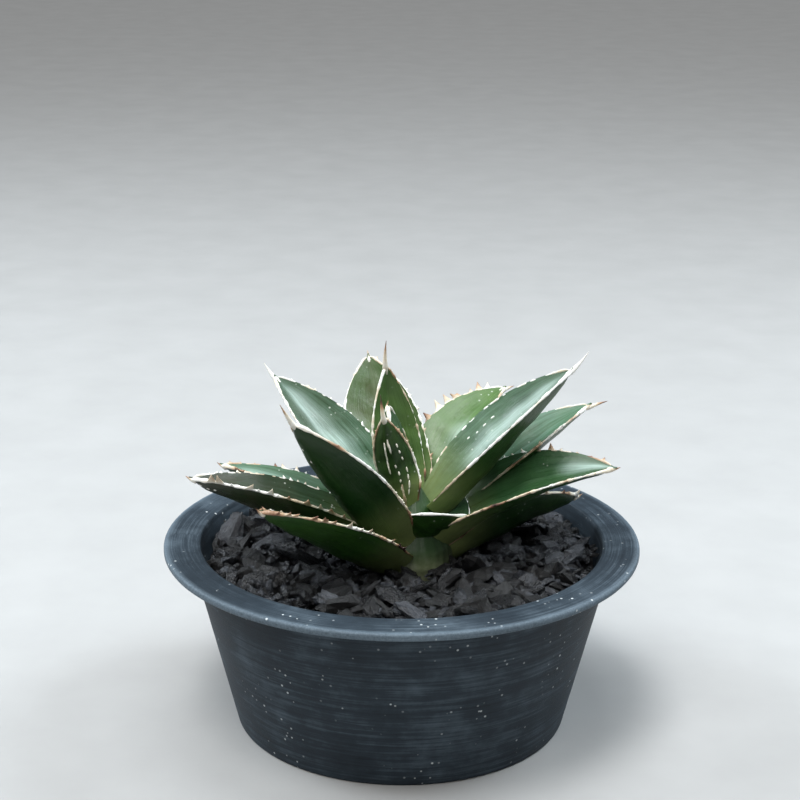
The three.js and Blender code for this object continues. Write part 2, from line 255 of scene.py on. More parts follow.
# %% The leaves, from the bud outwards
def leaf(name, azimuth, turn, lift, length, width, gutter, roll, start, stout, spine, **looks):
    """azimuth, turn, lift and roll are in degrees and lengths in millimetres. Of the looks, teeth gives the
    tooth size on the left and right margins, horn how brown the margins are, shade how dark the skin is,
    partly its own tone and, at 1.3, painted shade on faces that lie in shadow, bloom how much white wax
    lies on it, and flush how much purple brown it carries. press is the share by which a neighbour keeps
    the left and right side narrow near the base, tilt turns the end spine up and sideways, in degrees, and
    tan is how brown its point is. band is a painted sheen, a streak of whiter wax colour laid where a
    highlight falls on the upper face: its middle and spread across the leaf, where it starts and ends along
    it, and its strength."""
    return dict(name=name, azimuth=azimuth, turn=turn, lift=lift, length=length * MM, width=width * MM,
                gutter=gutter, roll=roll, start=np.array(start) * MM, stout=stout, spine=spine * MM,
                **{"teeth": (1.0, 1.0), "horn": 0.3, "shade": 0.5, "bloom": 0.4, "flush": 0.1,
                   "press": (0, 0), "tilt": (0, 0), "tan": 0.6, "band": (0, 1, 0, 1, 0), **looks})


# The band look is a painted sheen: a whiter streak of wax colour where a highlight falls on the upper face.
LEAVES = [
    leaf("leaf_bud", 215, 0, (64, 80), 32, 12, 0.4, 55, (2, 20), 0.5, 7,
         teeth=(0.5, 0.5), horn=0.3, shade=0.95, bloom=0.1, tan=0.9),
    leaf("leaf_bud_sheath", 165, 0, (74, 84), 35, 14, 0.4, 0, (2, 17), 0.55, 1,
         teeth=(0.2, 0.2), horn=0.1, shade=0.6, bloom=0.6),
    leaf("leaf_centre", 122, 10, (58, 92), 47, 17, 0.35, -4, (4, 16), 0.65, 8,
         teeth=(0.1, 0.2), horn=0.3, shade=0.25, bloom=0.1, tilt=(0, 4)),
    leaf("leaf_centre_back", 115, -12, (50, 48), 57, 25, 0.38, -14, (8, 13), 0.75, 1,
         teeth=(0.6, 1.3), horn=0.0, shade=0.3, bloom=0.1, flush=0.6, press=(0.9, 0)),
    leaf("leaf_back_right", 60, -14, (70, 12), 57, 24, 0.42, -8, (9, 10), 0.7, 4,
         teeth=(3.0, 0.8), horn=0.15, shade=0.2, bloom=0.2, press=(0, 0.95), tilt=(-22, 0),
         band=(0.1, 0.2, 0.35, 0.7, 0.5)),
    leaf("leaf_upper_right", 8, 8, (44, 43), 62, 25, 0.5, 0, (5, 18.5), 0.8, 7,
         teeth=(0.4, 0.25), horn=-0.1, shade=0.75, bloom=0.35, tan=0.1,
         band=(0.28, 0.2, 0.2, 0.97, 0.7)),
    leaf("leaf_upper_left", 154, -5, (46, 41), 61, 25, 0.39, -5, (7, 12), 0.85, 5,
         teeth=(0.5, 0.8), horn=-0.05, shade=0.6, bloom=0.6, flush=0.4, tan=0.15,
         band=(-0.1, 0.3, 0.0, 0.97, 0.95)),
    # shade 1.3 on this leaf is partly painted shade: its underside lies in shadow.
    leaf("leaf_front_left", 226, -6, (42, 54), 64, 24, 0.38, 12, (7, 10), 0.9, 7,
         teeth=(0.4, 0.5), horn=0.15, shade=1.3, bloom=0.2),
    leaf("leaf_right_behind", 27, -3, (42, 24), 67, 24, 0.39, -3, (7, 8), 0.7, 6,
         teeth=(0.3, 0.8), horn=0.35, shade=0.3, bloom=0.9, press=(0, 0.75), tilt=(-25, 0)),
    leaf("leaf_front", 330, 8, (30, 6), 22, 30, 0.3, -6, (-2, 12), 1.2, 1,
         teeth=(1.1, 0.4), horn=0.0, shade=0.85, bloom=0.3, press=(0.3, 0)),
    leaf("leaf_back", 86, 0, (30, 20), 52, 25, 0.4, 0, (6, 5), 0.85, 5, horn=0.5),
    leaf("leaf_low_right", -3, 6, (40, 3), 61, 27, 0.36, 8, (7, 10), 0.75, 1,
         teeth=(2.6, 0.8), horn=0.3, shade=0.75, bloom=0.1, band=(0.3, 0.25, 0.66, 1.05, 0.95)),
    # shade 1.3 on this leaf is partly painted shade: its upper face lies in the shadow of the leaves above.
    leaf("leaf_low_left", 192, -8, (26, 18), 68, 27, 0.45, 6, (7, 6), 1, 1,
         teeth=(2.8, 1.2), horn=0.1, shade=1.3, bloom=0.2, flush=0.6),
    leaf("leaf_low_left_behind", 158, 3, (26, 12), 63, 24, 0.4, 10, (8, 3.5), 0.8, 1,
         teeth=(0.7, 1.9), horn=0.35, shade=0.4, bloom=0.7, press=(0.6, 0),
         band=(-0.2, 0.35, 0.4, 0.97, 0.85)),
    leaf("leaf_low_back_left", 118, 0, (22, 12), 46, 24, 0.4, 0, (7, 1), 0.9, 5, horn=0.6),
    leaf("leaf_low_back_right", 52, 0, (20, 10), 50, 24, 0.4, 0, (7, 1), 0.9, 5, horn=0.6),
    leaf("leaf_low_front_left", 222, -2, (25, 32), 61, 27, 0.33, 9, (7, 3), 0.85, 1,
         teeth=(1.6, 1.2), horn=0.35, shade=0.6, bloom=0.2, flush=0.15),
    leaf("leaf_low_front_right", 24, 0, (17, 6), 53, 24, 0.39, -28, (7, 3.5), 0.85, 1,
         teeth=(0.8, 1.2), horn=0.2, shade=1.0, bloom=0.2),
]
YOUNG_LEAVES = {"leaf_bud", "leaf_bud_sheath", "leaf_centre", "leaf_centre_back", "leaf_back_right"}
print(len(LEAVES), "leaves, lengths", [round(one["length"] / MM) for one in LEAVES])


# %% The midrib and the frame carried along it
ROLL_DONE_AT = 0.4


def smooth(value, low, high):
    """Rises from 0 at low to 1 at high with level ends."""
    share = np.clip((value - low) / (high - low), 0, 1)
    return share * share * (3 - 2 * share)


def midrib_frame(one, along):
    """Slope and compass run evenly from base to tip, and the midrib is the running sum of the heading they
    give. Side starts level and rolls about the heading, and up completes the frame."""
    def heading_at(share):
        slope = np.radians(one["lift"][0] + (one["lift"][1] - one["lift"][0]) * share)
        compass = np.radians(one["azimuth"] + one["turn"] * share)
        return compass, np.stack([np.cos(slope) * np.cos(compass), np.cos(slope) * np.sin(compass),
                                  np.sin(slope)], -1)
    fine = np.linspace(0, 1, 241)
    _, headings = heading_at(fine)
    steps = (headings[1:] + headings[:-1]) / 2 * (one["length"] / 240)
    path = np.concatenate([np.zeros((1, 3)), np.cumsum(steps, 0)])
    azimuth = np.radians(one["azimuth"])
    out = np.array([np.cos(azimuth), np.sin(azimuth), 0])
    path = path + CROWN + out * one["start"][0] + np.array([0, 0, 1]) * one["start"][1]
    middle = np.stack([np.interp(along, fine, path[:, axis]) for axis in range(3)], -1)
    compass, heading = heading_at(along)
    side = np.stack([-np.sin(compass), np.cos(compass), 0 * compass], -1)
    roll = (np.radians(one["roll"]) * np.clip(along / ROLL_DONE_AT, 0, 1))[..., None]
    side = side * np.cos(roll) + np.cross(heading, side) * np.sin(roll)
    return middle, heading, side, np.cross(heading, side)


# %% A point anywhere on a leaf
WIDEST_AT = 0.45
BASE_SHARE = 0.84
THICKNESS = 8 * MM
TIP_THINNING = 0.78
EDGE = 0.9 * MM
SPINE_RADIUS = 0.8 * MM
GUTTER_POWER = 1.5
CREASE = 0.35 * MM
RIPPLE = 0.22 * MM
NECK = 0.3


def half_width(one, along):
    """Broad at the clasping base, rising by a quarter sine to the widest place, then falling as a
    parabola."""
    rising = BASE_SHARE + (1 - BASE_SHARE) * np.sin(np.clip(along / WIDEST_AT, 0, 1) * np.pi / 2)
    beyond = np.clip((along - WIDEST_AT) / (1 - WIDEST_AT), 0, None)
    return np.maximum(one["width"] / 2 * rising * (1 - beyond ** 2), SPINE_RADIUS)


def squeeze(one, along, across):
    """The share of the full width left at a place: the base is necked in, and a pressed side stays narrow
    until past the middle."""
    neck = (1 - NECK * (1 - smooth(along, 0, 0.25))) * (1 - 0.7 * smooth(along, 0.96, 1.0))
    pressed = np.where(across > 0, one["press"][0], one["press"][1])
    return neck * (1 - pressed * (1 - smooth(along, 0.15, 0.7)))


def leaf_surface(one, along, across, under, raised=0.0):
    """The gutter height is a power of the distance from the midrib. The underside hangs below it by a rounded
    keel. A crease along the midrib and a slow ripple keep the skin from being ruled. raised lifts a point off
    the skin. along and across are arrays of the same shape."""
    middle, heading, side, up = midrib_frame(one, along)
    half = half_width(one, along) * squeeze(one, along, across)
    thick = np.maximum(THICKNESS * one["stout"] * (1 - TIP_THINNING * along), 2 * SPINE_RADIUS)
    thick = thick * (1 - 0.6 * smooth(along, 0.9, 1.0))
    phase = one["azimuth"] * 0.7
    body = np.sin(np.pi * np.clip(along, 0, 1))
    top = one["gutter"] * half * np.abs(across) ** GUTTER_POWER
    ripple = RIPPLE * body * np.sin(5.1 * along * np.pi + 2.3 * across + phase)
    ripple += RIPPLE * 0.6 * body * np.sin(11.3 * along * np.pi - 3.9 * across + 2 * phase)
    round_off = np.clip(1 - across ** 2, 0, 1)
    depth = EDGE * round_off ** 0.3 + (thick - EDGE) * round_off ** 0.8
    crease = CREASE * body * np.exp(-(across / 0.09) ** 2)
    height = (top + ripple * round_off ** 0.5 - np.where(under, depth, crease)
              + np.where(under, -raised, raised))
    return middle + side * (half * across)[..., None] + up * height[..., None]


# %% The blade of a leaf as a closed skin
BLADE_ROWS = 130
BLADE_COLUMNS = 76


def sheen_band(one, along, across):
    """How much painted sheen lies at each place: a bell curve across the leaf, faded in and out along it."""
    middle, spread, start, end, strength = one["band"]
    bell = np.exp(-((across - middle) / spread) ** 2)
    return strength * bell * smooth(along, start, start + 0.2) * (1 - smooth(along, end - 0.15, end))


def blade(one):
    """Rows crowd towards the tip. Columns go round by angle, across being its cosine, so they crowd at the
    margins. Facts on the points tell the finish where it is on the leaf."""
    along = (1 - (1 - np.linspace(0, 1, BLADE_ROWS)) ** 1.25)[:, None] + np.zeros((1, BLADE_COLUMNS))
    angle = (np.arange(BLADE_COLUMNS) + 0.5) / BLADE_COLUMNS * 2 * np.pi
    across = np.cos(angle)[None] + 0 * along
    under = np.sin(angle)[None] + 0 * along < 0
    points = leaf_surface(one, along, across, under)
    facts = {"along": along, "across": across, "face": np.where(under, 0.0, 1.0),
             "shade": one["shade"] + 0 * along, "bloom": one["bloom"] + 0 * along,
             "flush": one["flush"] * smooth(along, 0.15, 0.8), "band": sheen_band(one, along, across),
             "pale": (1 - smooth(along, 0.02, 0.42)) * np.where(under, 1.0, 0.6)}
    return {"points": points[None], "material": 0, "facts": {key: fact[None] for key, fact in facts.items()}}


# %% [markdown]
# ## Horn: margins, teeth and spines
# The margin of each leaf is a cord of dead, horny tissue, white on young leaves and brown on old ones. Its
# teeth are flat hooks of the same cord. One fine tube can hold both: where a tooth stands, the outer side of
# the tube is drawn out and leaned towards the tip. The end spine is a hard cone that starts inside the leaf.

# %% The margin cord with its teeth
CORD_ROWS = 440
CORD_COLUMNS = 10
CORD_HALF_WIDTH = 0.34 * MM
CORD_HALF_HEIGHT = 0.40 * MM
TOOTH_SPACING = 3.4 * MM
TOOTH_RISE = np.radians(22)


def wander(place, rng, slowest, count=5):
    """A smooth wandering value of about -1 to 1: sines of rising pitch and falling size."""
    pitch = slowest * (1 + np.arange(count)) * rng.uniform(0.8, 1.2, count)
    swing = np.sin(place[..., None] * pitch + rng.uniform(0, 2 * np.pi, count)) / (1 + 0.5 * np.arange(count))
    return swing.sum(-1) / 1.6


def teeth_along(one, run, size, rng):
    """Height and lean of the teeth at each place along a margin. Each tooth is a pulse round its own place,
    and the tallest pulse wins."""
    places = np.arange(0.12 * run[-1], 0.95 * run[-1], TOOTH_SPACING * 0.8)
    places = places + rng.uniform(-0.5, 0.5, len(places)) * TOOTH_SPACING
    sizes = size * rng.uniform(0.2, 1.25, len(places)) ** 1.2
    leans = rng.uniform(-0.5, 1.1, len(places))
    reach = 0.3 * MM + 0.36 * sizes
    pulse = np.clip(1 - np.abs(run[:, None] - places) / reach, 0, 1) ** 1.3 * sizes
    winner = pulse.argmax(1)
    return pulse.max(1), leans[winner]


def margin_cord(one, edge, size, rng):
    """A tube of lens section along the margin. The outer points move out by the tooth height and towards the
    tip by its lean, and thin as they go."""
    along = (1 - (1 - np.linspace(0.04, 1, CORD_ROWS)) ** 1.1)
    across = edge * (1 - 0.55 * smooth(along, 0.97, 1.0))
    centre = leaf_surface(one, along, across, np.zeros_like(along, bool))
    _, heading, side, up = midrib_frame(one, along)
    centre = centre - up * (EDGE / 2)
    run = along * one["length"]
    height, lean = teeth_along(one, run, size * MM, rng)
    swell = (1 + 0.3 * wander(run, rng, 600) + 0.7 * smooth(along, 0.85, 0.96)
             - 0.5 * (1 - smooth(along, 0.04, 0.2)))
    swell = swell * (1 - 0.75 * smooth(along, 0.96, 1.0))
    angle = np.arange(CORD_COLUMNS) / CORD_COLUMNS * 2 * np.pi
    outward = np.clip(np.cos(angle), 0, 1)
    thin = 1 - 0.35 * outward * smooth(height, 0, 1.2 * MM)[:, None]
    sideways = CORD_HALF_WIDTH * swell[:, None] * np.cos(angle)
    upwards = CORD_HALF_HEIGHT * swell[:, None] * np.sin(angle) * thin
    onward = (height * lean)[:, None] * outward ** 2
    rise = np.arctan(GUTTER_POWER * one["gutter"]) + TOOTH_RISE
    tooth_out = height[:, None] * outward ** 1.6
    sideways = sideways + tooth_out * np.cos(rise)
    upwards = upwards + tooth_out * np.sin(rise)
    points = (centre[:, None] + edge * side[:, None] * sideways[..., None] + up[:, None] * upwards[..., None]
              + heading[:, None] * onward[..., None])
    tooth = outward * smooth(height, 0.2 * MM, 1.4 * MM)[:, None]
    age = one["horn"] + 0.35 * wander(run, rng, 170)[:, None] + 0.35 * (1 - smooth(along, 0.1, 0.5))[:, None]
    facts = {"horn": (age + 0.35 * tooth)[None], "tooth": tooth[None]}
    return {"points": points[None], "material": 1, "facts": facts}


# %% The end spine
SPINE_ROWS = 30
SPINE_COLUMNS = 16
SPINE_START = 3.2 * MM
SPINE_HALF_WIDTH = 1.1 * MM


def end_spine(one, rng):
    """A cone with a slightly hollow outline along a gently bent line. It starts inside the leaf."""
    share = np.linspace(0, 1, SPINE_ROWS)
    start = 1 - SPINE_START / one["length"]
    middle, heading, side, up = midrib_frame(one, np.array([start, 1.0]))
    root = middle[0] - up[0] * 0.5 * MM
    rise, swing = np.radians(one["tilt"])
    way = heading[1] * np.cos(rise) * np.cos(swing) + up[1] * np.sin(rise) + side[1] * np.sin(swing)
    tip = middle[1] + way * one["spine"]
    bend = rng.uniform(-0.5, 0.5, 2) * MM * one["spine"] / (7 * MM)
    line = (root + (tip - root) * share[:, None] + (side[1] * bend[0] + up[1] * (bend[1] - 0.3 * MM))
            * np.sin(np.pi * share)[:, None])
    radius = SPINE_HALF_WIDTH * (1 - share) ** 1.1 + 0.07 * MM
    radius = radius * (0.55 + 0.45 * smooth(share, 0, 0.25))
    angle = np.arange(SPINE_COLUMNS) / SPINE_COLUMNS * 2 * np.pi
    ring = side[1] * np.cos(angle)[:, None] + up[1] * np.sin(angle)[:, None]
    points = line[:, None] + ring[None] * radius[:, None, None]
    horn = one["horn"] * 0.7 + one["tan"] * smooth(share, 0.35, 0.95)
    facts = {"horn": np.broadcast_to(horn[None, :, None], (1, SPINE_ROWS, SPINE_COLUMNS))}
    return {"points": points[None], "material": 1, "facts": facts}


# %% Flecks: the prints that other leaves left
def flecks(one, prints, rng):
    """Low lens-shaped scales in rows on one face. A print is (across at its start, across at its end, along
    from, along to, how many, length in mm, under). Each scale is an ellipsoid flattened against the skin."""
    along, across, under, length = [], [], [], []
    for from_across, to_across, from_along, to_along, count, size, below in prints:
        share = (np.arange(count) + 0.5) / count
        along.append(from_along + (to_along - from_along) * share + rng.normal(0, 0.003, count))
        across.append(from_across + (to_across - from_across) * share + rng.normal(0, 0.012, count))
        under.append(np.full(count, bool(below)))
        length.append(size * MM * rng.uniform(0.6, 1.2, count) / 2)
    along, across, under, length = (np.concatenate(group) for group in (along, across, under, length))
    centre = leaf_surface(one, along, across, under)
    step = 1e-3
    onward = leaf_surface(one, along + step, across, under) - centre
    sideways = leaf_surface(one, along, across + step, under) - centre
    onward, sideways = (each / np.linalg.norm(each, axis=-1, keepdims=True) for each in (onward, sideways))
    outward = np.cross(onward, sideways)
    turn, fall = np.meshgrid(np.arange(8) / 8 * 2 * np.pi, (np.arange(5) + 0.5) / 5 * np.pi)
    ball = np.stack([np.cos(fall), np.sin(fall) * np.cos(turn), np.sin(fall) * np.sin(turn)], -1)
    halves = np.stack([length, np.minimum(length, 0.3 * MM), np.full_like(length, 0.13 * MM)], -1)
    axes = np.stack([onward, sideways, outward], 1)
    points = centre[:, None, None] + np.einsum("rck,pk,pkx->prcx", ball, halves, axes)
    horn = np.full(points.shape[:3], max(one["horn"] - 0.15, 0.0))
    return {"points": points, "material": 1, "facts": {"horn": horn}}


PRINTS = {
    "leaf_bud": [(-0.3, -0.3, 0.72, 0.42, 5, 3.6, 1), (-0.05, 0.0, 0.76, 0.64, 2, 3.4, 1),
                 (0.06, 0.24, 0.52, 0.22, 4, 1.5, 1), (0.42, 0.5, 0.72, 0.5, 3, 1.8, 1),
                 (0.54, 0.58, 0.44, 0.15, 4, 2.4, 1)],
    "leaf_front_left": [(-0.3, -0.05, 0.86, 0.72, 2, 1.2, 1), (-0.45, -0.35, 0.55, 0.4, 2, 1.0, 1)],
    "leaf_low_left": [(0.35, 0.6, 0.95, 0.86, 3, 1.0, 1)],
    "leaf_front": [(0.3, -0.2, 0.8, 0.7, 3, 0.9, 1)],
    "leaf_upper_right": [(0.66, 0.7, 0.56, 0.34, 4, 1.5, 0)],
}

# %% [markdown]
# ## The skin of a leaf
# The skin is waxy: green with fine stripes along the leaf, paler and yellower where it clasps the crown. The
# upper face carries a thin white wax that looks bluish, and some leaves have a purple-brown flush. Streaks of
# painted sheen, a whiter wax colour, lie where highlights fall on some upper faces. All of it follows facts
# stored on the blade, so the same finish serves every leaf.

# %% Leaf skin
PALE_BASE = (0.26, 0.31, 0.11)
FLUSH = (0.045, 0.026, 0.020)
WAX = (0.17, 0.29, 0.23)
# The colour of the painted sheen, a whiter wax laid where highlights fall on the upper face.
PAINTED_SHEEN_COLOUR = (0.42, 0.56, 0.50)
SPECK = (0.75, 0.78, 0.70)


def leaf_skin(name, upper, lower):
    """upper and lower are each a dark and a light green for that face."""
    skin = Finish(name, Roughness=0.4, Coat_Weight=0.08, Coat_Roughness=0.2, Specular_IOR_Level=0.32)
    along, across, face = skin.fact("along"), skin.fact("across"), skin.fact("face")
    here = skin.here()
    lengthways = skin.vector(skin.math("MULTIPLY", across, 9.0), skin.math("MULTIPLY", along, 2.2), face)
    broad = skin.noise(lengthways, 1.0, detail=4.0, roughness=0.6)
    thread = skin.vector(skin.math("MULTIPLY", across, 46.0), skin.math("MULTIPLY", along, 5.0), face)
    threads = skin.noise(thread, 1.0, detail=3.0)
    cloud = skin.noise(here, 90.0, detail=5.0, roughness=0.6)
    tone = skin.math("ADD", skin.math("MULTIPLY", broad, 0.5), skin.math("MULTIPLY", cloud, 0.5))
    # The shade fact darkens the skin: its own tone, and painted shade on the leaves set to 1.3.
    tone = skin.math("SUBTRACT", tone,
                     skin.math("MULTIPLY", skin.math("SUBTRACT", skin.fact("shade"), 0.5), 0.35))
    light = skin.spread(tone, 0.25, 0.7)
    colour = skin.blend(face, skin.blend(light, *lower), skin.blend(light, *upper))
    stripes = skin.spread(threads, 0.3, 0.7, 0.0, 0.22)
    colour = skin.blend(stripes, colour, (0.008, 0.020, 0.008))
    wax = skin.math("MULTIPLY", skin.fact("bloom"), skin.spread(broad, 0.35, 0.65, 0.25, 1.0))
    wax = skin.math("MULTIPLY", skin.math("MULTIPLY", wax, face), 0.55)
    colour = skin.blend(wax, colour, WAX)
    streaky = skin.math("ADD", skin.math("MULTIPLY", threads, 0.5), skin.math("MULTIPLY", broad, 0.5))
    streaky = skin.spread(streaky, 0.35, 0.62, 0.35, 1.0)
    # Painted sheen: the band fact, broken into streaks, whitens the upper face where a highlight falls.
    painted_sheen = skin.math("MULTIPLY", skin.math("MULTIPLY", skin.fact("band"), streaky), face)
    colour = skin.blend(painted_sheen, colour, PAINTED_SHEEN_COLOUR)
    paling = skin.math("MULTIPLY", skin.fact("pale"), skin.spread(cloud, 0.3, 0.7, 0.65, 1.0), clamp=True)
    colour = skin.blend(paling, colour, PALE_BASE)
    flushed = skin.math("MULTIPLY", skin.fact("flush"), skin.spread(cloud, 0.35, 0.65, 0.35, 1.0), clamp=True)
    colour = skin.blend(flushed, colour, FLUSH)
    dust = skin.add("TexVoronoi", {"Vector": here, "Scale": 420.0, "Randomness": 1.0}, feature="F1")
    sparse = skin.spread(skin.noise(here, 60.0, detail=2.0), 0.52, 0.66)
    specks = skin.math("MULTIPLY", skin.spread(dust.outputs["Distance"], 0.10, 0.16, 1.0, 0.0), sparse)
    colour = skin.blend(skin.math("MULTIPLY", specks, 0.5), colour, SPECK)
    rough = skin.math("ADD", skin.spread(broad, 0.3, 0.7, 0.26, 0.46), skin.math("MULTIPLY", specks, 0.25))
    pores = skin.bump(skin.noise(here, 2600.0, detail=2.0), 0.12, 0.0002)
    ribs = skin.bump(threads, 0.22, 0.0006, pores)
    swells = skin.bump(skin.noise(here, 160.0, detail=2.0), 0.3, 0.0012, ribs)
    return skin.finish(colour, rough, swells)


OLD_SKIN = leaf_skin("leaf_skin", ((0.008, 0.034, 0.009), (0.034, 0.110, 0.024)),
                     ((0.005, 0.030, 0.003), (0.026, 0.100, 0.008)))
YOUNG_SKIN = leaf_skin("young_leaf_skin", ((0.020, 0.056, 0.012), (0.086, 0.165, 0.034)),
                       ((0.010, 0.032, 0.005), (0.046, 0.105, 0.014)))


# %% Horn
def horn_finish():
    """White to tan to dark brown by the horn fact, broken up by fine noise."""
    horn = Finish("leaf_horn", Roughness=0.5, Specular_IOR_Level=0.5, Coat_Weight=0.15)
    here = horn.here()
    mottle = horn.noise(here, 700.0, detail=4.0)
    age = horn.math("ADD", horn.fact("horn"), horn.math("MULTIPLY", horn.math("SUBTRACT", mottle, 0.5), 0.5))
    colour = horn.ramp(age, [(0.0, (0.80, 0.79, 0.74)), (0.3, (0.68, 0.60, 0.46)), (0.6, (0.42, 0.27, 0.16)),
                             (0.85, (0.17, 0.075, 0.040)), (1.0, (0.050, 0.022, 0.015))])
    fibre = horn.bump(horn.noise(here, 1800.0, detail=3.0), 0.35, 0.0003)
    return horn.finish(colour, horn.spread(mottle, 0.3, 0.7, 0.38, 0.62), fibre)


HORN = horn_finish()

# %% Grow every leaf
for number, one in enumerate(LEAVES):
    rng = np.random.default_rng(100 + number)
    left_teeth, right_teeth = one["teeth"]
    parts = [blade(one), margin_cord(one, 1, left_teeth, rng), margin_cord(one, -1, right_teeth, rng),
             end_spine(one, rng)]
    if one["name"] in PRINTS:
        parts.append(flecks(one, PRINTS[one["name"]], rng))
    young = one["name"] in YOUNG_LEAVES
    make_piece(one["name"] + "_grown", parts, [YOUNG_SKIN if young else OLD_SKIN, HORN],
               [one["name"]])

# %% [markdown]
# ## Broken charcoal
# Horticultural charcoal breaks into angular splinters with a fibrous grain. A splinter could be cut from a
# block, but many are needed, so each is a ball of directions pushed in by a few random planes: the distance
# in a direction is that of the nearest plane. Stretching the ball gives the long, flat chips.

# %% A splinter from planes
def splinters(places, halves, turns, rows, columns, planes, rng, ridge=0.0):
    """Radius in a direction is the smallest of offset / (direction . normal) over the planes, so the faces
    are flat and the edges sharp. ridge adds grain, a ripple round the long axis. turns are 3 x 3 per
    splinter."""
    count = len(places)
    fall = (np.arange(rows) + 0.5) / rows * np.pi
    turn = np.arange(columns) / columns * 2 * np.pi
    fall, turn = np.meshgrid(fall, turn, indexing="ij")
    way = np.stack([np.cos(fall), np.sin(fall) * np.cos(turn), np.sin(fall) * np.sin(turn)], -1)
    normals = rng.normal(size=(count, planes, 3))
    normals = np.concatenate([normals, -normals], 1)
    normals /= np.linalg.norm(normals, axis=-1, keepdims=True)
    offsets = rng.uniform(0.6, 1.0, (count, 2 * planes))
    facing = np.einsum("rcx,pkx->prck", way, normals)
    radius = (offsets[:, None, None] / np.maximum(facing, 0.05)).min(-1)
    radius = np.minimum(radius, 1.35)
    if ridge:
        grain = rng.uniform(0, 2 * np.pi, (count, 1, 1))
        radius = radius * (1 + ridge * np.sin(13 * turn + grain) * np.sin(fall)
                           + ridge * 0.6 * np.sin(29 * turn - grain) * np.sin(fall))
    ball = way * radius[..., None]
    shaped = ball * halves[:, None, None]
    points = np.einsum("pxy,prcy->prcx", turns, shaped) + places[:, None, None]
    along_grain = np.broadcast_to(np.cos(fall), radius.shape) * halves[:, 0, None, None] / (6 * MM)
    shade = np.broadcast_to(rng.uniform(0, 1, (count, 1, 1)), radius.shape)
    round_grain = turn / (2 * np.pi) + 0 * radius
    return {"points": points,
            "facts": {"grain_along": along_grain, "grain_round": round_grain, "tone": shade}}


def tilts(count, spin, steep, rng):
    """Turns about the vertical by spin, after a lean of about steep radians either way."""
    lean_x, lean_y = rng.normal(0, steep, count), rng.normal(0, steep, count)
    zero, one = np.zeros(count), np.ones(count)
    about_x = np.stack([one, zero, zero, zero, np.cos(lean_x), -np.sin(lean_x), zero, np.sin(lean_x),
                        np.cos(lean_x)], -1).reshape(-1, 3, 3)
    about_y = np.stack([np.cos(lean_y), zero, np.sin(lean_y), zero, one, zero, -np.sin(lean_y), zero,
                        np.cos(lean_y)], -1).reshape(-1, 3, 3)
    about_z = np.stack([np.cos(spin), -np.sin(spin), zero, np.sin(spin), np.cos(spin), zero, zero, zero, one],
                       -1).reshape(-1, 3, 3)
    return about_z @ about_y @ about_x


# %% Charcoal finish
def charcoal_finish():
    """Near black with a faint blue sheen on broken faces, stretched fibre grain and brown-grey dust."""
    coal = Finish("charcoal", Roughness=0.5, Specular_IOR_Level=0.45)
    here = coal.here()
    grain_way = coal.vector(coal.math("MULTIPLY", coal.fact("grain_along"), 5.0),
                            coal.math("MULTIPLY", coal.fact("grain_round"), 60.0), coal.fact("tone"))
    grain = coal.noise(grain_way, 1.0, detail=4.0, roughness=0.65)
    crumble = coal.noise(here, 650.0, detail=6.0, roughness=0.7)
    tone = coal.math("ADD", coal.math("MULTIPLY", crumble, 0.55),
                     coal.math("MULTIPLY", coal.fact("tone"), 0.45))
    colour = coal.ramp(tone, [(0.3, (0.001, 0.001, 0.001)), (0.53, (0.004, 0.004, 0.005)),
                              (0.72, (0.050, 0.054, 0.062))])
    dusty = coal.spread(coal.noise(here, 240.0, detail=5.0), 0.6, 0.78, 0.0, 0.22)
    colour = coal.blend(dusty, colour, (0.05, 0.048, 0.045))
    ridges = coal.bump(grain, 0.7, 0.0009)
    pits = coal.bump(crumble, 0.55, 0.0007, ridges)
    gloss = coal.math("ADD", coal.math("MULTIPLY", grain, 0.5), coal.math("MULTIPLY", coal.fact("tone"), 0.5))
    return coal.finish(colour, coal.spread(gloss, 0.35, 0.65, 0.5, 0.1), pits)


CHARCOAL = charcoal_finish()

# %% The large chips, fitted to the solid model's
CHIP_COUNT = 25
CHIP_TILT = 0.16
FULL_TURN = 6.28
LARGE_CHIPS = [f"chip_{number:02d}" for number in range(1, CHIP_COUNT + 1)]
boxes = np.array([[tuple(corner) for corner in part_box(name)] for name in LARGE_CHIPS])
rng = np.random.default_rng(7)
chip_middles, chip_halves = boxes.mean(1), (boxes[:, 1] - boxes[:, 0]) / 2
chip_lengths = chip_halves[:, :2].max(1)
half_sizes = np.stack([chip_lengths, chip_lengths * rng.uniform(0.5, 0.75, CHIP_COUNT),
                       chip_halves[:, 2] * 0.85], -1)
chip_turns = tilts(CHIP_COUNT, rng.uniform(0, FULL_TURN, CHIP_COUNT), CHIP_TILT, rng)
large = splinters(chip_middles, half_sizes * 0.9, chip_turns, 44, 80, 7, rng, ridge=0.012)
make_piece("charcoal_chips", [large], [CHARCOAL], LARGE_CHIPS, smooth=False)

# %% The splinters between them
SPLINTER_SPACING = 4.5 * MM
BED_TOP = RIM_TOP - 6 * MM
CLEAR_OF_CROWN = 12 * MM


def scattered(spacing, reach, jitter, rng):
    """A triangular lattice of places inside a circle, each pushed off its place at random."""
    count = int(reach / spacing) + 2
    row, column = np.meshgrid(np.arange(-count, count + 1), np.arange(-count, count + 1), indexing="ij")
    x = (column + 0.5 * (row % 2)) * spacing
    y = row * spacing * np.sqrt(3) / 2
    place = np.stack([x, y], -1).reshape(-1, 2) + rng.normal(0, jitter, (x.size, 2))
    return place[np.hypot(place[:, 0], place[:, 1]) < reach]


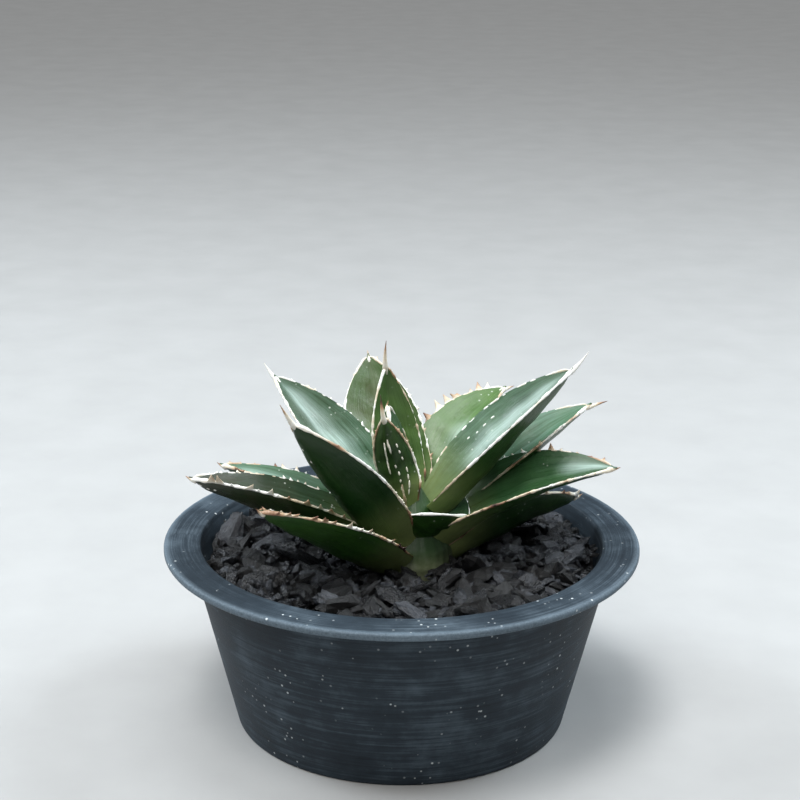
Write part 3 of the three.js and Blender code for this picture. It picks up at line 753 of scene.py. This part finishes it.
def splinter_layer(spacing, height, longest, reach, rng):
    place = scattered(spacing, reach, spacing * 0.3, rng)
    away = np.hypot(place[:, 0] - CROWN[0], place[:, 1] - CROWN[1])
    place = place[away > CLEAR_OF_CROWN]
    count = len(place)
    length = longest * rng.uniform(0.35, 1.0, count) ** 1.2
    width = length * rng.uniform(0.35, 0.7, count)
    depth = length * rng.uniform(0.22, 0.45, count)
    halves = np.stack([length, width, depth], -1)
    middles = np.concatenate([place, (height + rng.normal(0, 0.5 * MM, count))[:, None]], 1)
    turns = tilts(count, rng.uniform(0, FULL_TURN, count), 0.5, rng)
    return splinters(middles, halves / 2, turns, 5, 8, 4, rng)


lower = splinter_layer(SPLINTER_SPACING, BED_TOP + 0.2 * MM, 12 * MM, BED_RADIUS - 2.0 * MM, rng)
upper = splinter_layer(SPLINTER_SPACING * 1.5, BED_TOP + 2.2 * MM, 14 * MM, BED_RADIUS - 4.0 * MM, rng)
fine = splinter_layer(SPLINTER_SPACING * 0.8, BED_TOP + 1.2 * MM, 5.5 * MM, BED_RADIUS - 0.8 * MM, rng)
make_piece("charcoal_splinters", [lower, upper, fine], [CHARCOAL], smooth=False)

# %% The bed under them
def disc_bed():
    """A slab whose top is a ring grid raised by wandering noise, and whose under side is flat. Rows run from
    the top's middle out to the wall, down it and back in under the slab."""
    low, high = bed_low[2], bed_high[2] - 2.6 * MM
    share = np.linspace(0.02, 1, 60)
    turn = np.arange(220) / 220 * 2 * np.pi
    radius = np.concatenate([share * (BED_RADIUS - 0.4 * MM), [BED_RADIUS - 1.2 * MM],
                             share[::-6] * 0.96 * BED_RADIUS])
    x, y = radius[:, None] * np.cos(turn), radius[:, None] * np.sin(turn)
    waves = (np.sin(900 * x + 3 * np.sin(700 * y)) * np.sin(1100 * y + 2 * np.sin(800 * x))) * 0.7 * MM
    top = np.arange(len(radius))[:, None] < len(share)
    z = np.where(top, high + waves, low + 0.5 * MM)
    return {"points": np.stack([x, y, z], -1)[None]}


make_piece("charcoal_bed", [disc_bed()], [CHARCOAL], ["chip_bed"], smooth=False)

# %% [markdown]
# ## The pot
# The pot is moulded plastic: a wide flat rim with a rounded outer edge, a tapered body and a foot ring. It is
# a profile turned about the vertical axis. The finish has fine concentric scuffs from handling, a painted
# highlight along the rounded outer edge and lip, broken up by grit, and white mineral specks from watering.

# %% Turn the pot
MOUTH_RADIUS = RIM_RADIUS - 11.5 * MM
RIM_THICKNESS = 2.4 * MM
WALL = 3.2 * MM
FOOT_RADIUS = 53 * MM
FOOT_WIDTH = 6 * MM
FOOT_HEIGHT = 3 * MM
FLOOR_THICKNESS = 3 * MM
DRAIN_RADIUS = 9 * MM


def rounded(corner_points, radius, steps=6):
    """A closed outline with each corner replaced by an arc that meets both sides, by a quadratic blend."""
    corners = np.array(corner_points)
    before, after = np.roll(corners, 1, 0), np.roll(corners, -1, 0)
    to_before = before - corners
    to_after = after - corners
    shorter = np.minimum(np.linalg.norm(to_before, axis=1), np.linalg.norm(to_after, axis=1))
    reach = np.minimum(radius, 0.45 * shorter)
    first = corners + to_before / np.linalg.norm(to_before, axis=1)[:, None] * reach[:, None]
    last = corners + to_after / np.linalg.norm(to_after, axis=1)[:, None] * reach[:, None]
    share = np.linspace(0, 1, steps)[None, :, None]
    arcs = ((1 - share) ** 2 * first[:, None] + 2 * share * (1 - share) * corners[:, None]
            + share ** 2 * last[:, None])
    return arcs.reshape(-1, 2)


def pot_shell():
    floor_top = FOOT_HEIGHT + FLOOR_THICKNESS
    outline = [(DRAIN_RADIUS, FOOT_HEIGHT), (FOOT_RADIUS - FOOT_WIDTH, FOOT_HEIGHT),
               (FOOT_RADIUS - FOOT_WIDTH, 0), (FOOT_RADIUS, 0),
               (MOUTH_RADIUS + WALL, RIM_TOP - RIM_THICKNESS), (RIM_RADIUS, RIM_TOP - RIM_THICKNESS),
               (RIM_RADIUS, RIM_TOP), (MOUTH_RADIUS, RIM_TOP),
               (FOOT_RADIUS - WALL, floor_top), (DRAIN_RADIUS, floor_top)]
    radii = np.array([0.3, 0.6, 0.4, 1.0, 1.0, 0.9, 1.9, 0.7, 1.5, 0.3]) * MM
    profile = rounded(outline, radii, 9)
    turn = np.arange(256) / 256 * 2 * np.pi
    points = np.stack([profile[:, :1] * np.cos(turn), profile[:, :1] * np.sin(turn),
                       np.broadcast_to(profile[:, 1:], (len(profile), 256))], -1)
    return {"points": points[None], "ring": True}


# %% Pot finish
def pot_finish():
    pot = Finish("pot_plastic", Roughness=0.6, Specular_IOR_Level=0.18)
    here = pot.here()
    split = pot.add("SeparateXYZ", {"Vector": here})
    x, y, z = split.outputs
    radius = pot.math("SQRT", pot.math("ADD", pot.math("MULTIPLY", x, x), pot.math("MULTIPLY", y, y)))
    angle = pot.math("ARCTAN2", y, x)
    circles = pot.vector(pot.math("MULTIPLY", radius, 1900.0), pot.math("MULTIPLY", angle, 1.5),
                         pot.math("MULTIPLY", z, 700.0))
    scuffs = pot.noise(circles, 1.0, detail=4.0, roughness=0.7)
    patches = pot.noise(here, 45.0, detail=6.0, roughness=0.65)
    grit = pot.noise(here, 1500.0, detail=4.0, roughness=0.7)
    tone = pot.math("ADD", pot.math("MULTIPLY", patches, 0.55), pot.math("MULTIPLY", scuffs, 0.45))
    colour = pot.ramp(tone, [(0.32, (0.007, 0.011, 0.016)), (0.5, (0.021, 0.031, 0.041)),
                             (0.66, (0.075, 0.100, 0.122))])
    # Painted highlight: the rounded outer edge and the lip are painted paler, broken up by grit.
    edge = pot.spread(radius, RIM_RADIUS - 2.2 * MM, RIM_RADIUS - 0.2 * MM, 0.0, 0.55)
    edge_highlight = pot.math("MULTIPLY", edge, pot.spread(grit, 0.3, 0.7, 0.4, 1.0))
    colour = pot.blend(edge_highlight, colour, (0.20, 0.26, 0.31))
    cells = pot.add("TexVoronoi", {"Vector": here, "Scale": 380.0, "Randomness": 1.0}, feature="F1")
    few = pot.spread(pot.noise(here, 70.0, detail=3.0), 0.5, 0.64)
    specks = pot.math("MULTIPLY", pot.spread(cells.outputs["Distance"], 0.10, 0.17, 1.0, 0.0), few)
    colour = pot.blend(pot.math("MULTIPLY", specks, 0.75), colour, (0.62, 0.66, 0.66))
    fine_bump = pot.bump(grit, 0.25, 0.0003)
    ring_bump = pot.bump(scuffs, 0.25, 0.0004, fine_bump)
    return pot.finish(colour, pot.spread(tone, 0.3, 0.7, 0.5, 0.7), ring_bump)


make_piece("pot_turned", [pot_shell()], [pot_finish()], ["pot"])

# %% [markdown]
# ## The crown
# The leaves clasp a short, stout crown. Where they meet, their pale bases merge with it, and its top is the
# tight pointed heart of the next leaves. One turned body with soft folds fills the room between the bases.

# %% The crown body
def crown_body():
    """A profile of (radius, height over the crown) points turned about the crown's axis. Folds that wind
    round it as they climb, a sine of angle plus height, stand for the wrapped leaf bases."""
    knots = np.array([(0.3, -22), (4, -20), (8, -12), (10.5, -4), (12.2, 2), (11.8, 7), (9, 13), (6, 18),
                      (3.6, 22), (1.6, 25.5), (0.2, 27.5)]) * MM
    at = np.linspace(0, len(knots) - 1, 70)
    radius = np.interp(at, np.arange(len(knots)), knots[:, 0])[:, None]
    height = np.interp(at, np.arange(len(knots)), knots[:, 1])[:, None]
    turn = (np.arange(96) / 96 * 2 * np.pi)[None]
    folds = 1 + 0.03 * np.sin(5 * turn + 90 * height) + 0.008 * np.sin(23 * turn - 60 * height)
    x = CROWN[0] + radius * folds * np.cos(turn)
    y = CROWN[1] + radius * folds * np.sin(turn)
    green = smooth(height / MM, -3, 9) + 0 * turn
    points = np.stack([x, y, CROWN[2] + height + 0 * turn], -1)
    return {"points": points[None], "facts": {"green": green[None]}}


def crown_finish():
    crown = Finish("crown_skin", Roughness=0.45, Coat_Weight=0.2, Coat_Roughness=0.3)
    here = crown.here()
    cloud = crown.noise(here, 260.0, detail=5.0, roughness=0.65)
    fine = crown.noise(here, 1400.0, detail=3.0)
    pale = crown.ramp(cloud, [(0.3, (0.16, 0.18, 0.09)), (0.55, (0.30, 0.33, 0.20)),
                              (0.75, (0.46, 0.48, 0.36))])
    colour = crown.blend(crown.fact("green"), pale, (0.016, 0.050, 0.008))
    return crown.finish(colour, crown.spread(cloud, 0.3, 0.7, 0.35, 0.6), crown.bump(fine, 0.3, 0.0003))


make_piece("crown_grown", [crown_body()], [crown_finish()], ["stem"])

# %% [markdown]
# ## What the pot hides
# The potting mix and the drainage layer keep the solid model's shapes and only get finishes.

# %% Mix and drainage
def earthy_finish(name, scale, colours, strength):
    soil = Finish(name, Roughness=0.9)
    here = soil.here()
    crumbs = soil.noise(here, scale, detail=8.0, roughness=0.7)
    cells = soil.add("TexVoronoi", {"Vector": here, "Scale": scale * 1.6}, feature="F1")
    colour = soil.ramp(crumbs, colours)
    rough = soil.spread(crumbs, 0.3, 0.7, 0.75, 1.0)
    return soil.finish(colour, rough, soil.bump(cells.outputs["Distance"], strength, 0.001))


hidden = {
    "potting_mix": earthy_finish("potting_mix", 300.0,
                                 [(0.3, (0.020, 0.012, 0.007)), (0.7, (0.09, 0.055, 0.03))], 0.8),
    "drainage_layer": earthy_finish("drainage_grit", 150.0,
                                    [(0.3, (0.16, 0.14, 0.11)), (0.7, (0.42, 0.38, 0.32))], 0.9),
}
for node, material in hidden.items():
    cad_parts[node].material_slots[0].material = material
print("finished in place:", sorted(hidden))

# %% [markdown]
# ## Floor, light and camera
# The floor is one wide pale sheet, so that it also fills the background. Two soft panels high at the
# sides draw the sheen on the leaves. One overhead, one in front and a broad sun fill the shadows.

# %% Floor
def floor_finish():
    floor = Finish("pale_floor", Roughness=0.7)
    speckle = floor.noise(floor.here(), 30.0, detail=4.0)
    return floor.finish(floor.ramp(speckle, [(0.3, (0.33, 0.33, 0.325)), (0.7, (0.355, 0.355, 0.35))]))


FLOOR_REACH = 10.0
floor_mesh = bpy.data.meshes.new("floor")
floor_mesh.from_pydata([(-FLOOR_REACH, -FLOOR_REACH, 0), (FLOOR_REACH, -FLOOR_REACH, 0),
                        (FLOOR_REACH, FLOOR_REACH, 0), (-FLOOR_REACH, FLOOR_REACH, 0)], [], [(0, 1, 2, 3)])
floor_mesh.materials.append(floor_finish())
floor = bpy.data.objects.new("floor", floor_mesh)
bpy.context.scene.collection.objects.link(floor)

# %% Lights
def soft_panel(name, place, aim, width, height, power, colour):
    """A rectangular area light at place, turned to face aim."""
    data = bpy.data.lights.new(name, "AREA")
    data.shape = "RECTANGLE"
    data.size, data.size_y = width, height
    data.energy = power
    data.color = colour
    panel = bpy.data.objects.new(name, data)
    panel.location = place
    panel.rotation_euler = (Vector(aim) - Vector(place)).to_track_quat("-Z", "Y").to_euler()
    panel.visible_camera = False
    bpy.context.scene.collection.objects.link(panel)
    return panel


PLANT_MIDDLE = (0.0, 0.0, 0.08)
soft_panel("high_right_panel", (0.68, 0.22, 0.82), PLANT_MIDDLE, 0.5, 0.4, 10.0, (0.84, 0.93, 1.0))
soft_panel("high_left_panel", (-0.78, 0.28, 0.72), PLANT_MIDDLE, 0.5, 0.4, 10.0, (0.84, 0.93, 1.0))
soft_panel("top_panel", (0.0, 0.0, 1.0), PLANT_MIDDLE, 0.5, 0.3, 5.0, (0.92, 0.96, 1.0))
soft_panel("front_panel", (-0.3, -0.8, 0.95), PLANT_MIDDLE, 0.6, 0.4, 5.0, (1.0, 0.98, 0.95))
sun_data = bpy.data.lights.new("broad_light", "SUN")
sun_data.energy = 2.0
sun_data.angle = np.radians(20)
sun = bpy.data.objects.new("broad_light", sun_data)
sun.rotation_euler = Vector((0.2, 0.3, -1.0)).to_track_quat("-Z", "Y").to_euler()
bpy.context.scene.collection.objects.link(sun)
world = bpy.data.worlds.new("soft_room")
world.use_nodes = True
world.node_tree.nodes["Background"].inputs["Color"].default_value = (0.9, 0.95, 1.0, 1)
world.node_tree.nodes["Background"].inputs["Strength"].default_value = 0.16
bpy.context.scene.world = world
bpy.context.scene.view_settings.view_transform = "Standard"

# %% Camera
camera_data = bpy.data.cameras.new("camera")
camera_data.lens = 84.33
camera_data.sensor_width = 36.0
camera = bpy.data.objects.new("camera", camera_data)
right = Vector((0.99997, 0.00351, 0.00638))
up = Vector((-0.00714, 0.29859, 0.95435))
forward = Vector((-0.00145, 0.95437, -0.29861))
turned = Matrix((right, up, -forward)).transposed().to_4x4()
camera.matrix_world = Matrix.Translation((0.0, -0.55815, 0.28015)) @ turned
bpy.context.scene.collection.objects.link(camera)
bpy.context.scene.camera = camera

# %% Update the scene
bpy.context.view_layer.update()
